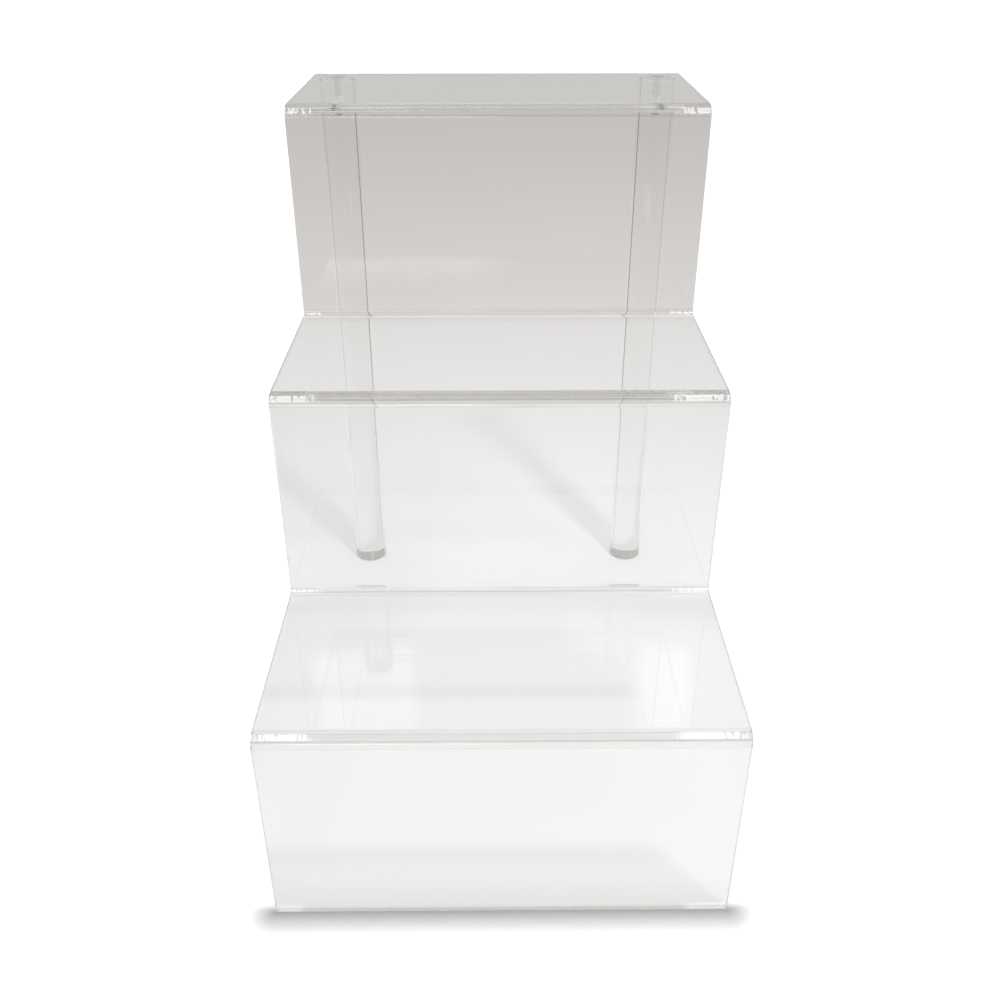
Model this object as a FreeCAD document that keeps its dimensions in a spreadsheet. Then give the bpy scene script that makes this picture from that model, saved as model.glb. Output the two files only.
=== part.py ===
"""Three-tier shelf riser: one bent clear acrylic sheet on two acrylic rod legs.

The sheet runs up, back, up, back, up and back, and stands on the bottom edge of its
front riser. Two round rods carry the rear of the top tier. A countersunk screw goes
down through the tier into the tapped end of each rod.

Frame: millimetres, +Z up, the front faces -Y, +X to the right. The origin is on the
floor, at the middle of the riser's width and depth.
"""
import FreeCAD, Part
import Sketcher
import math
import os

PARTS_FOLDER = "parts"
TIERS = 3
SAME_PLACE = 1e-6
COUNTERSINK_ANGLE = 90.0
FULL_TURN = 360.0
# circles, distances and turns start at this, before a named size drives them
FIRST_SIZE = 1.0

# alias, value in millimetres (or degrees), what it is
DRIVING_SIZES = [
    ("shelf_width", 250.0, "sheet, side edge to side edge"),
    ("step_rise", 127.0, "height from one tier's top to the next"),
    ("step_going", 127.0, "depth of one tier, riser front to riser front"),
    ("sheet_thickness", 5.0, "acrylic sheet"),
    ("inside_bend_radius", 3.0, "line bend, on its inner side"),
    ("polished_edge_radius", 0.4, "rounding that polishing leaves on the sheet's edges"),
    ("rod_diameter", 25.0, "round acrylic rod"),
    ("rod_side_inset", 17.0, "rod axis from the sheet's side edge"),
    ("rod_rear_inset", 15.0, "rod axis from the sheet's rear edge"),
    ("rod_end_chamfer", 0.6, "on both ends of a rod"),
    ("thread_diameter", 5.0, "M5, outside of the thread"),
    ("screw_length", 16.0, "screw, over all"),
    ("screw_head_diameter", 9.6, "countersunk head"),
    ("head_land", 0.3, "straight rim above the head's cone"),
    ("head_sink", 0.1, "head's top below the tier's top"),
    ("slot_width", 1.2, "screwdriver slot"),
    ("slot_depth", 1.2, "screwdriver slot"),
    ("screw_tip_chamfer", 0.6, "lead-in at the screw's tip"),
    ("left_slot_turn", 24.0, "degrees, where the left slot stopped"),
    ("right_slot_turn", 106.0, "degrees, where the right slot stopped"),
    ("clearance_hole_gap", 0.25, "all round the screw where it passes the sheet"),
    ("tapped_hole_gap", 0.05, "all round the thread in the rod"),
    ("tapped_hole_spare", 3.0, "tapped hole below the screw's tip"),
]

doc = FreeCAD.newDocument("tiered_shelf_riser")
sizes = doc.addObject("Spreadsheet::Sheet", "Sizes")


def write_sizes():
    """Fill the spreadsheet, one driving dimension to a row."""
    for row, (alias, value, meaning) in enumerate(DRIVING_SIZES, start=1):
        sizes.set(f"A{row}", alias)
        sizes.set(f"B{row}", str(value))
        sizes.set(f"C{row}", meaning)
        sizes.setAlias(f"B{row}", alias)
    doc.recompute()


def value_of(alias):
    """The number now in one named cell."""
    return float(sizes.get(alias))


def new_body(label):
    """A body whose label names its node and its file."""
    body = doc.addObject("PartDesign::Body", label)
    body.Label = label
    return body


def new_sketch(body, name, plane_role):
    """A sketch on one of the body's own origin planes."""
    plane = next(feature for feature in body.Origin.OriginFeatures if feature.Role == plane_role)
    sketch = body.newObject("Sketcher::SketchObject", name)
    sketch.AttachmentSupport = [(plane, "")]
    sketch.MapMode = "FlatFace"
    return sketch


def new_feature(body, kind, name, profile):
    """A PartDesign feature made from a profile sketch, or from the body so far."""
    feature = body.newObject(kind, name)
    if profile is not None:
        feature.Profile = profile
        profile.Visibility = False
    return feature


def bind_length(sketch, name, kind, first, first_end, second, second_end, formula):
    """A named distance between two sketch points that follows a formula."""
    constraint = Sketcher.Constraint(kind, first, first_end, second, second_end, FIRST_SIZE)
    index = sketch.addConstraint(constraint)
    sketch.renameConstraint(index, name)
    sketch.setExpression(f"Constraints.{name}", formula)


def draw_outline(sketch, corners):
    """A closed outline of straight lines through the corners, level or upright where they are."""
    count = len(corners)
    for index in range(count):
        start = corners[index]
        end = corners[(index + 1) % count]
        line = Part.LineSegment(FreeCAD.Vector(*start, 0), FreeCAD.Vector(*end, 0))
        sketch.addGeometry(line, False)
    for index in range(count):
        start = corners[index]
        end = corners[(index + 1) % count]
        sketch.addConstraint(Sketcher.Constraint("Coincident", index, 2, (index + 1) % count, 1))
        if start[0] == end[0]:
            sketch.addConstraint(Sketcher.Constraint("Vertical", index))
        elif start[1] == end[1]:
            sketch.addConstraint(Sketcher.Constraint("Horizontal", index))


def edge_names(shape, wanted):
    """The names, as Edge7, of the edges that the test picks."""
    return [f"Edge{index}" for index, edge in enumerate(shape.Edges, start=1) if wanted(edge)]


def runs_along_x_through(edge, places):
    """True for an edge along X whose middle is at one of the (y, z) places."""
    middle = edge.CenterOfMass
    if abs(edge.Length - value_of("shelf_width")) > SAME_PLACE:
        return False
    return any(math.hypot(middle.y - y, middle.z - z) < SAME_PLACE for y, z in places)


def runs_round_side(edge):
    """True for an edge that lies in one of the sheet's two side faces."""
    return abs(abs(edge.CenterOfMass.x) - value_of("shelf_width") / 2) < SAME_PLACE


def step_corners():
    """The sheet's bends, as sharp corners (y, z): upper surface first, then lower surface."""
    rise = value_of("step_rise")
    going = value_of("step_going")
    thickness = value_of("sheet_thickness")
    front = -TIERS * going / 2
    upper = [(front, 0.0)]
    lower = [(front + thickness, 0.0)]
    for tier in range(TIERS):
        riser_front = front + tier * going
        tier_top = (tier + 1) * rise
        next_riser = riser_front + going
        upper.append((riser_front, tier_top))
        upper.append((next_riser, tier_top))
        lower.append((riser_front + thickness, tier_top - thickness))
        lower.append((next_riser + thickness, tier_top - thickness))
    lower[-1] = (upper[-1][0], upper[-1][1] - thickness)
    return upper, lower


def make_stepped_sheet():
    """The bent sheet: a stepped strip as wide as the shelf, with its bends and screw holes."""
    body = new_body("stepped_sheet")
    upper, lower = step_corners()
    outline = new_sketch(body, "step_outline", "YZ_Plane")
    draw_outline(outline, upper + lower[::-1])
    last = 2 * len(upper) - 1
    bind_length(outline, "front_to_centre", "DistanceX", 0, 1, -1, 1,
                f"{TIERS} * Sizes.step_going / 2")
    outline.addConstraint(Sketcher.Constraint("PointOnObject", 0, 1, -1))
    for tier in range(TIERS):
        riser = 2 * tier
        top = riser + 1
        under_riser = last - 1 - riser
        under_top = under_riser - 1
        bind_length(outline, f"rise_{tier + 1}", "DistanceY", riser, 1, riser, 2, "Sizes.step_rise")
        bind_length(outline, f"going_{tier + 1}", "DistanceX", top, 1, top, 2, "Sizes.step_going")
        bind_length(outline, f"riser_wall_{tier + 1}", "DistanceX", riser, 1, under_riser, 2,
                    "Sizes.sheet_thickness")
        bind_length(outline, f"tier_wall_{tier + 1}", "DistanceY", under_top, 1, top, 2,
                    "Sizes.sheet_thickness")
    strip = new_feature(body, "PartDesign::Pad", "strip", outline)
    strip.SideType = "Symmetric"
    strip.setExpression("Length", "Sizes.shelf_width")
    doc.recompute()

    bends = range(1, len(upper) - 1)
    inner_side = [lower[bend] if bend % 2 else upper[bend] for bend in bends]
    outer_side = [upper[bend] if bend % 2 else lower[bend] for bend in bends]
    inner_bends = new_feature(body, "PartDesign::Fillet", "inner_bends", None)
    inner_edges = edge_names(strip.Shape, lambda edge: runs_along_x_through(edge, inner_side))
    inner_bends.Base = (strip, inner_edges)
    inner_bends.setExpression("Radius", "Sizes.inside_bend_radius")
    doc.recompute()
    outer_bends = new_feature(body, "PartDesign::Fillet", "outer_bends", None)
    outer_edges = edge_names(inner_bends.Shape, lambda edge: runs_along_x_through(edge, outer_side))
    outer_bends.Base = (inner_bends, outer_edges)
    outer_bends.setExpression("Radius", "Sizes.inside_bend_radius + Sizes.sheet_thickness")
    doc.recompute()

    ends = [upper[0], lower[0], upper[-1], lower[-1]]
    polished = new_feature(body, "PartDesign::Fillet", "polished_edges", None)
    rim = edge_names(
        outer_bends.Shape,
        lambda edge: runs_round_side(edge) or runs_along_x_through(edge, ends),
    )
    polished.Base = (outer_bends, rim)
    polished.setExpression("Radius", "Sizes.polished_edge_radius")
    doc.recompute()

    centres = new_sketch(body, "screw_hole_centres", "XY_Plane")
    centres.setExpression("AttachmentOffset.Base.z", f"{TIERS} * Sizes.step_rise")
    start = value_of("shelf_width") / 4
    radius = value_of("thread_diameter") / 2
    for index, side in enumerate((-1, 1)):
        middle = FreeCAD.Vector(side * start, start, 0)
        centres.addGeometry(Part.Circle(middle, FreeCAD.Vector(0, 0, 1), radius))
        centres.addConstraint(Sketcher.Constraint("Radius", index, radius))
    bind_length(centres, "left_from_centre", "DistanceX", 0, 3, -1, 1,
                "Sizes.shelf_width / 2 - Sizes.rod_side_inset")
    bind_length(centres, "right_from_centre", "DistanceX", -1, 1, 1, 3,
                "Sizes.shelf_width / 2 - Sizes.rod_side_inset")
    for index, name in enumerate(("left_back", "right_back")):
        bind_length(centres, name, "DistanceY", -1, 1, index, 3,
                    f"{TIERS} * Sizes.step_going / 2 - Sizes.rod_rear_inset")
    doc.recompute()
    holes = new_feature(body, "PartDesign::Hole", "screw_holes", centres)
    holes.DepthType = "Dimension"
    holes.HoleCutType = "Countersink"
    holes.HoleCutCountersinkAngle = COUNTERSINK_ANGLE
    holes.DrillPoint = "Flat"
    holes.setExpression("Depth", "2 * Sizes.sheet_thickness")
    holes.setExpression("Diameter", "Sizes.thread_diameter + 2 * Sizes.clearance_hole_gap")
    holes.setExpression(
        "HoleCutDiameter",
        "Sizes.screw_head_diameter + 2 * (Sizes.head_land + Sizes.head_sink)",
    )
    return body


def place_at_rod(body, side, height_formula, turn_alias=None):
    """Stand a body on the axis of the left (-1) or right (1) rod, at a height, and turn it."""
    across = f"{side} * (Sizes.shelf_width / 2 - Sizes.rod_side_inset)"
    back = f"{TIERS} * Sizes.step_going / 2 - Sizes.rod_rear_inset"
    body.setExpression(".Placement.Base.x", across)
    body.setExpression(".Placement.Base.y", back)
    body.setExpression(".Placement.Base.z", height_formula)
    if turn_alias:
        body.Placement.Rotation = FreeCAD.Rotation(FreeCAD.Vector(0, 0, 1), FIRST_SIZE)
        body.setExpression(".Placement.Rotation.Angle", f"Sizes.{turn_alias} * 1 deg")


def make_rod(label, side):
    """A leg: a chamfered rod from the floor to the top tier, with a tapped blind hole in its top."""
    body = new_body(label)
    section = new_sketch(body, f"{label}_section", "XY_Plane")
    section.addGeometry(Part.Circle(FreeCAD.Vector(0, 0, 0), FreeCAD.Vector(0, 0, 1), FIRST_SIZE))
    section.addConstraint(Sketcher.Constraint("Coincident", 0, 3, -1, 1))
    section.addConstraint(Sketcher.Constraint("Diameter", 0, value_of("rod_diameter")))
    section.setExpression("Constraints[1]", "Sizes.rod_diameter")
    bar = new_feature(body, "PartDesign::Pad", f"{label}_bar", section)
    bar.setExpression("Length", f"{TIERS} * Sizes.step_rise - Sizes.sheet_thickness")
    doc.recompute()
    ends = new_feature(body, "PartDesign::Chamfer", f"{label}_ends", None)
    ends.Base = (bar, edge_names(bar.Shape, lambda edge: isinstance(edge.Curve, Part.Circle)))
    ends.setExpression("Size", "Sizes.rod_end_chamfer")
    doc.recompute()

    centre = new_sketch(body, f"{label}_hole_centre", "XY_Plane")
    centre.setExpression("AttachmentOffset.Base.z", f"{TIERS} * Sizes.step_rise - Sizes.sheet_thickness")
    centre.addGeometry(Part.Circle(FreeCAD.Vector(0, 0, 0), FreeCAD.Vector(0, 0, 1), FIRST_SIZE))
    centre.addConstraint(Sketcher.Constraint("Coincident", 0, 3, -1, 1))
    centre.addConstraint(Sketcher.Constraint("Radius", 0, value_of("thread_diameter") / 2))
    doc.recompute()
    hole = new_feature(body, "PartDesign::Hole", f"{label}_tapped_hole", centre)
    hole.DepthType = "Dimension"
    hole.DrillPoint = "Angled"
    hole.setExpression("Diameter", "Sizes.thread_diameter + 2 * Sizes.tapped_hole_gap")
    hole.setExpression(
        "Depth",
        "Sizes.screw_length + Sizes.head_sink - Sizes.sheet_thickness + Sizes.tapped_hole_spare",
    )
    place_at_rod(body, side, "0")
    return body


def make_screw(label, side, turn_alias):
    """A slotted countersunk screw, its origin at the middle of the head's top."""
    body = new_body(label)
    thread_radius = value_of("thread_diameter") / 2
    head_radius = value_of("screw_head_diameter") / 2
    land = value_of("head_land")
    length = value_of("screw_length")
    tip = value_of("screw_tip_chamfer")
    cone_end = land + head_radius - thread_radius
    half_section = new_sketch(body, f"{label}_half_section", "XZ_Plane")
    corners = [
        (0.0, 0.0),
        (head_radius, 0.0),
        (head_radius, -land),
        (thread_radius, -cone_end),
        (thread_radius, tip - length),
        (thread_radius - tip, -length),
        (0.0, -length),
    ]
    draw_outline(half_section, corners)
    half_section.addConstraint(Sketcher.Constraint("Coincident", 0, 1, -1, 1))
    bind_length(half_section, "head_radius", "DistanceX", 0, 1, 0, 2, "Sizes.screw_head_diameter / 2")
    bind_length(half_section, "land", "DistanceY", 1, 2, 1, 1, "Sizes.head_land")
    bind_length(half_section, "thread_radius", "DistanceX", -1, 1, 3, 1, "Sizes.thread_diameter / 2")
    bind_length(half_section, "cone_height", "DistanceY", 2, 2, 2, 1,
                "(Sizes.screw_head_diameter - Sizes.thread_diameter) / 2")
    bind_length(half_section, "length", "DistanceY", 5, 2, -1, 1, "Sizes.screw_length")
    bind_length(half_section, "tip_height", "DistanceY", 4, 2, 4, 1, "Sizes.screw_tip_chamfer")
    bind_length(half_section, "tip_width", "DistanceX", 4, 2, 4, 1, "Sizes.screw_tip_chamfer")
    turned = new_feature(body, "PartDesign::Revolution", f"{label}_turned", half_section)
    turned.ReferenceAxis = (half_section, ["V_Axis"])
    turned.Angle = FULL_TURN
    doc.recompute()

    slot = new_sketch(body, f"{label}_slot_outline", "XZ_Plane")
    half_slot = value_of("slot_width") / 2
    floor = -value_of("slot_depth")
    draw_outline(slot, [(-half_slot, 0.0), (half_slot, 0.0), (half_slot, floor), (-half_slot, floor)])
    slot.addConstraint(Sketcher.Constraint("PointOnObject", 0, 1, -1))
    bind_length(slot, "half_width", "DistanceX", 0, 1, -1, 1, "Sizes.slot_width / 2")
    bind_length(slot, "width", "DistanceX", 0, 1, 0, 2, "Sizes.slot_width")
    bind_length(slot, "depth", "DistanceY", 1, 2, 1, 1, "Sizes.slot_depth")
    doc.recompute()
    cut = new_feature(body, "PartDesign::Pocket", f"{label}_slot", slot)
    cut.SideType = "Symmetric"
    cut.setExpression("Length", "2 * Sizes.screw_head_diameter")
    place_at_rod(body, side, f"{TIERS} * Sizes.step_rise - Sizes.head_sink", turn_alias)
    return body


def check_document(bodies):
    """Stop unless every object recomputed and every body is one valid solid."""
    for item in doc.Objects:
        if "Invalid" in item.State or "Error" in item.State:
            raise RuntimeError(f"{item.Name} failed: {item.State}")
    for body in bodies:
        if body.Shape.isNull() or not body.Shape.isValid() or len(body.Shape.Solids) != 1:
            raise RuntimeError(f"{body.Label} is not one valid solid")


write_sizes()
bodies = [
    make_stepped_sheet(),
    make_rod("left_rod", -1),
    make_rod("right_rod", 1),
    make_screw("left_screw", -1, "left_slot_turn"),
    make_screw("right_screw", 1, "right_slot_turn"),
]
doc.recompute()
check_document(bodies)

os.makedirs(PARTS_FOLDER, exist_ok=True)
for body in bodies:
    body.Shape.exportStep(os.path.join(PARTS_FOLDER, f"{body.Label}.step"))
    print(f"{body.Label}: {body.Shape.Volume:.1f} mm3, {body.Shape.BoundBox}")
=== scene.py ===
"""Tiered shelf riser: one line-bent sheet of clear acrylic on two acrylic rod legs.

Run as a script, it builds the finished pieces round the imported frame: the sheet is a
flat blank that is drilled and then folded bend by bend, the rods and the screws are
turned and threaded, and a pale studio stands round them.
"""
import math

import bmesh
import bpy
from mathutils import Euler, Matrix, Vector


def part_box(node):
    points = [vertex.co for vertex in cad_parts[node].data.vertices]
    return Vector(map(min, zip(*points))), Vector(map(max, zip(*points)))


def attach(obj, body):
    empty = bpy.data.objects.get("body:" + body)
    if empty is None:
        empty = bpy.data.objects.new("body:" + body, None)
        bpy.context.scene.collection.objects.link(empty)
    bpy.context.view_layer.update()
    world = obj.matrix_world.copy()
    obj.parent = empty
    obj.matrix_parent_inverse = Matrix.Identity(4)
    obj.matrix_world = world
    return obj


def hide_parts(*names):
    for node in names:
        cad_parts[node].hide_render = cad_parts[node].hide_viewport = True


bl_info = {
    "name": "Tiered Shelf Riser",
    "version": (1, 0, 0),
    "blender": (4, 5, 0),
    "location": "View3D > Sidebar > Riser",
    "description": "Builds a clear acrylic shelf riser, its rods, its screws and a studio",
    "category": "Object",
}

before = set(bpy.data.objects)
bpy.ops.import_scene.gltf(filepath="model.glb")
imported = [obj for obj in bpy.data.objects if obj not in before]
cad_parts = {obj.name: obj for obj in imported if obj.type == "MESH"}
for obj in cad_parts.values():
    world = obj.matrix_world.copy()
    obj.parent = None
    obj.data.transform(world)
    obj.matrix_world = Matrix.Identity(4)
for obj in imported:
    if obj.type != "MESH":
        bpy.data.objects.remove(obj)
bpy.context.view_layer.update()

MM = 0.001
TIERS = 3
QUARTER = math.pi / 2
SIDES = {"left": -1, "right": 1}
BLACK = (0.0, 0.0, 0.0)
WHITE = (1.0, 1.0, 1.0)

SHEET_LOW, SHEET_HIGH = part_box("stepped_sheet")
ROD_LOW, ROD_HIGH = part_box("left_rod")
SCREW_LOW, SCREW_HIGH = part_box("left_screw")


# ---------------------------------------------------------------- settings


class RiserSheetSettings(bpy.types.PropertyGroup):
    """Sizes and finish of the bent sheet."""

    width: bpy.props.FloatProperty(
        name="Width", description="Sheet, side edge to side edge",
        default=SHEET_HIGH[0] - SHEET_LOW[0], unit="LENGTH")
    rise: bpy.props.FloatProperty(
        name="Rise", description="Height from one tier's top to the next",
        default=(SHEET_HIGH[2] - SHEET_LOW[2]) / TIERS, unit="LENGTH")
    going: bpy.props.FloatProperty(
        name="Going", description="Depth of one tier",
        default=(SHEET_HIGH[1] - SHEET_LOW[1]) / TIERS, unit="LENGTH")
    thickness: bpy.props.FloatProperty(
        name="Thickness", description="Acrylic sheet",
        default=SHEET_HIGH[2] - ROD_HIGH[2], unit="LENGTH")
    inside_radius: bpy.props.FloatProperty(
        name="Inside Bend Radius", description="Line bend, on its inner side",
        default=3 * MM, unit="LENGTH")
    edge_radius: bpy.props.FloatProperty(
        name="Polished Edge Radius", description="Rounding left by polishing the edges",
        default=0.4 * MM, unit="LENGTH")
    ripple: bpy.props.FloatProperty(
        name="Bend Ripple", description="Unevenness that the heating leaves along a bend",
        default=0.03 * MM, unit="LENGTH", precision=5)
    clearance_hole: bpy.props.FloatProperty(
        name="Screw Hole", description="Diameter of the hole under the countersink",
        default=5.5 * MM, unit="LENGTH")
    countersink: bpy.props.FloatProperty(
        name="Countersink", description="Diameter of the countersink at the tier's top",
        default=10.4 * MM, unit="LENGTH")
    tint: bpy.props.FloatVectorProperty(
        name="Sheet Tint", description="What is left of white light after the sheet",
        default=(0.985, 0.985, 0.983), subtype="COLOR", min=0, max=1)


class RiserRodSettings(bpy.types.PropertyGroup):
    """Sizes and finish of the two legs."""

    chamfer: bpy.props.FloatProperty(
        name="End Chamfer", description="On both ends of a rod",
        default=0.6 * MM, unit="LENGTH")
    hole_depth: bpy.props.FloatProperty(
        name="Tapped Hole Depth", description="From the rod's top to the drill's shoulder",
        default=14.1 * MM, unit="LENGTH")
    seat_gap: bpy.props.FloatProperty(
        name="Seat Gap", description="Air left between dry faces that meet",
        default=0.04 * MM, unit="LENGTH", precision=5)
    tint: bpy.props.FloatVectorProperty(
        name="Rod Tint", description="What is left of white light after the rod",
        default=(0.975, 0.975, 0.97), subtype="COLOR", min=0, max=1)
    sawn_tint: bpy.props.FloatVectorProperty(
        name="Sawn End Tint", description="Dulling of the sawn ends",
        default=(0.86, 0.85, 0.82), subtype="COLOR", min=0, max=1)


class RiserScrewSettings(bpy.types.PropertyGroup):
    """Sizes and finish of the two screws."""

    head_diameter: bpy.props.FloatProperty(
        name="Head", description="Countersunk head",
        default=SCREW_HIGH[0] - SCREW_LOW[0], unit="LENGTH")
    thread_diameter: bpy.props.FloatProperty(
        name="Thread", description="Outside of the thread",
        default=5 * MM, unit="LENGTH")
    pitch: bpy.props.FloatProperty(
        name="Pitch", description="Height of one turn of the thread",
        default=0.8 * MM, unit="LENGTH", precision=5)
    thread_depth: bpy.props.FloatProperty(
        name="Thread Depth", description="From crest to root",
        default=0.43 * MM, unit="LENGTH", precision=5)
    thread_gap: bpy.props.FloatProperty(
        name="Thread Gap", description="All round the thread in the rod",
        default=0.05 * MM, unit="LENGTH", precision=5)
    slot_width: bpy.props.FloatProperty(
        name="Slot Width", description="Screwdriver slot",
        default=1.2 * MM, unit="LENGTH")
    slot_depth: bpy.props.FloatProperty(
        name="Slot Depth", description="Screwdriver slot",
        default=1.2 * MM, unit="LENGTH")
    left_turn: bpy.props.FloatProperty(
        name="Left Slot", description="Where the left slot stopped",
        default=math.radians(24), subtype="ANGLE")
    right_turn: bpy.props.FloatProperty(
        name="Right Slot", description="Where the right slot stopped",
        default=math.radians(106), subtype="ANGLE")
    tint: bpy.props.FloatVectorProperty(
        name="Screw Tint", description="What is left of white light after the screw",
        default=(0.6, 0.59, 0.58), subtype="COLOR", min=0, max=1)


class RiserStudioSettings(bpy.types.PropertyGroup):
    """The camera, the floor and the light round the riser."""

    camera_place: bpy.props.FloatVectorProperty(
        name="Camera", description="Where the camera stands",
        default=(-0.004, -0.5755, 0.48675), subtype="TRANSLATION", unit="LENGTH")
    camera_pitch: bpy.props.FloatProperty(
        name="Pitch", description="How far the camera looks down",
        default=math.radians(30.14), subtype="ANGLE")
    camera_yaw: bpy.props.FloatProperty(
        name="Yaw", description="How far the camera looks to the right",
        default=math.radians(0.44), subtype="ANGLE")
    camera_lens: bpy.props.FloatProperty(
        name="Lens", description="Focal length in millimetres", default=37.5)
    floor_radius: bpy.props.FloatProperty(
        name="Floor", description="Radius of the floor", default=9.0, unit="LENGTH")
    floor_near: bpy.props.FloatVectorProperty(
        name="Floor Near", description="The floor round the riser",
        default=(0.94, 0.94, 0.94), subtype="COLOR", min=0, max=1)
    floor_far: bpy.props.FloatVectorProperty(
        name="Floor Far", description="The floor away from the riser",
        default=(0.78, 0.755, 0.73), subtype="COLOR", min=0, max=1)
    floor_front: bpy.props.FloatVectorProperty(
        name="Floor Front", description="The floor behind the camera",
        default=(0.56, 0.54, 0.52), subtype="COLOR", min=0, max=1)


# ---------------------------------------------------------------- node helpers


def add_node(tree, kind, links=None, **values):
    """A node with its options set, and its inputs set or linked by name or number."""
    node = tree.nodes.new(kind)
    for option, value in values.items():
        setattr(node, option, value)
    for socket, source in (links or {}).items():
        if isinstance(source, bpy.types.NodeSocket):
            tree.links.new(source, node.inputs[socket])
        else:
            node.inputs[socket].default_value = source
    return node


def math_node(tree, operation, *terms):
    """The result of one piece of arithmetic on numbers or sockets."""
    node = add_node(tree, "ShaderNodeMath", dict(enumerate(terms)), operation=operation)
    return node.outputs[0]


def shape_tree(name, inputs):
    """A geometry tree with named inputs; gives the tree, its input node and its last node."""
    tree = bpy.data.node_groups.new(name, "GeometryNodeTree")
    face = tree.interface
    face.new_socket("Geometry", in_out="INPUT", socket_type="NodeSocketGeometry")
    for label, kind in inputs:
        face.new_socket(label, in_out="INPUT", socket_type=f"NodeSocket{kind}")
    face.new_socket("Geometry", in_out="OUTPUT", socket_type="NodeSocketGeometry")
    return tree, tree.nodes.new("NodeGroupInput"), tree.nodes.new("NodeGroupOutput")


def finish_tree(tree, sockets, out, geometry):
    """End a tree the usual way: real geometry that carries the piece's material."""
    real = add_node(tree, "GeometryNodeRealizeInstances", {0: geometry})
    coated = add_node(tree, "GeometryNodeSetMaterial",
                      {"Geometry": real.outputs[0], "Material": sockets["Material"]})
    tree.links.new(coated.outputs[0], out.inputs[0])


def add_tree(piece, tree, values):
    """Put a tree on a piece and set its inputs by their identifiers."""
    modifier = piece.modifiers.new(tree.name, "NODES")
    modifier.node_group = tree
    for item in tree.interface.items_tree:
        if item.in_out == "INPUT" and item.name in values:
            modifier[item.identifier] = values[item.name]
    return modifier


# ---------------------------------------------------------------- mesh helpers


def new_piece(name, shape):
    """An object made from a bmesh, in the scene."""
    mesh = bpy.data.meshes.new(name)
    shape.to_mesh(mesh)
    shape.free()
    piece = bpy.data.objects.new(name, mesh)
    bpy.context.scene.collection.objects.link(piece)
    return piece


def close_seams(shape, distance=0.0005 * MM):
    """Merge doubled points and point every face outwards."""
    bmesh.ops.remove_doubles(shape, verts=shape.verts, dist=distance)
    bmesh.ops.dissolve_degenerate(shape, edges=shape.edges, dist=distance)
    bmesh.ops.recalc_face_normals(shape, faces=shape.faces)


def turned(profile, segments):
    """A closed solid turned round Z from (radius, height) points that start and end on the axis."""
    shape = bmesh.new()
    rings = []
    for radius, height in profile:
        if radius == 0.0:
            rings.append([shape.verts.new((0.0, 0.0, height))])
            continue
        angles = [2 * math.pi * step / segments for step in range(segments)]
        rings.append([
            shape.verts.new((radius * math.cos(angle), radius * math.sin(angle), height))
            for angle in angles
        ])
    for lower, upper in zip(rings, rings[1:]):
        for step in range(segments):
            following = (step + 1) % segments
            corners = [lower[step % len(lower)], lower[following % len(lower)],
                       upper[following % len(upper)], upper[step % len(upper)]]
            corners = list(dict.fromkeys(corners))
            shape.faces.new(corners)
    close_seams(shape)
    return shape


def fan_normals(mesh, crease=math.radians(35)):
    """Smooth shading in which a large flat face keeps its own direction and a crease stays sharp."""
    shape = bmesh.new()
    shape.from_mesh(mesh)
    flattest = math.cos(crease)
    normals = [None] * len(mesh.loops)
    weights = {face: face.calc_area() ** 2 for face in shape.faces}
    for vertex in shape.verts:
        for loop in vertex.link_loops:
            own = loop.face.normal
            total = Vector()
            for face in vertex.link_faces:
                if own.dot(face.normal) > flattest:
                    total += face.normal * weights[face]
            normals[loop.index] = total.normalized()
    shape.free()
    mesh.shade_smooth()
    mesh.normals_split_custom_set(normals)


def settle(piece):
    """Turn a piece and its modifiers into one plain mesh."""
    bpy.context.view_layer.update()
    seen = piece.evaluated_get(bpy.context.evaluated_depsgraph_get())
    mesh = bpy.data.meshes.new_from_object(seen)
    mesh.name = piece.name
    piece.modifiers.clear()
    piece.data = mesh
    shape = bmesh.new()
    shape.from_mesh(mesh)
    close_seams(shape)
    shape.to_mesh(mesh)
    shape.free()
    fan_normals(mesh)


def cut_away(piece, cutter):
    """Subtract one object from a piece."""
    cut = piece.modifiers.new("Cut", "BOOLEAN")
    cut.operation = "DIFFERENCE"
    cut.solver = "EXACT"
    cut.object = cutter
    cutter.hide_render = True


def discard(*objects):
    """Delete helper objects."""
    for item in objects:
        bpy.data.objects.remove(item, do_unlink=True)


# ---------------------------------------------------------------- materials

ACRYLIC_IOR = 1.49
MOULDED_IOR = 1.53

# painted shade on the sheet: over each bend, in lines along the bends (and their spacing), and at its
# sawn rear end
BEND_PAINTED_SHADE = (0.89, 0.885, 0.87)
BEND_LINE_PAINTED_SHADE = (0.6, 0.595, 0.585)
REAR_END_PAINTED_SHADE = (0.62, 0.61, 0.6)
BEND_LINE_SPACING = 5.08 * MM

# how much of the light a surface lets into its shadow, and how much a bend throws aside
SHEET_SHADE = 0.99
BEND_SHADE = 0.6
ROD_SHADE = 0.6
SCREW_SHADE = 0.8

# the painted shade line down a rod's edge: where it is, as facing, and its colour
ROD_SHADE_LINE_FACING = 0.49
ROD_SHADE_LINE_COLOUR = (0.03, 0.03, 0.03)


def new_material(name):
    """An empty node material with a Principled shader; gives material, tree, shader and output."""
    material = bpy.data.materials.new(name)
    material.use_nodes = True
    tree = material.node_tree
    tree.nodes.clear()
    shader = add_node(tree, "ShaderNodeBsdfPrincipled")
    out = add_node(tree, "ShaderNodeOutputMaterial")
    tree.links.new(shader.outputs[0], out.inputs["Surface"])
    return material, tree, shader, out


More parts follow.
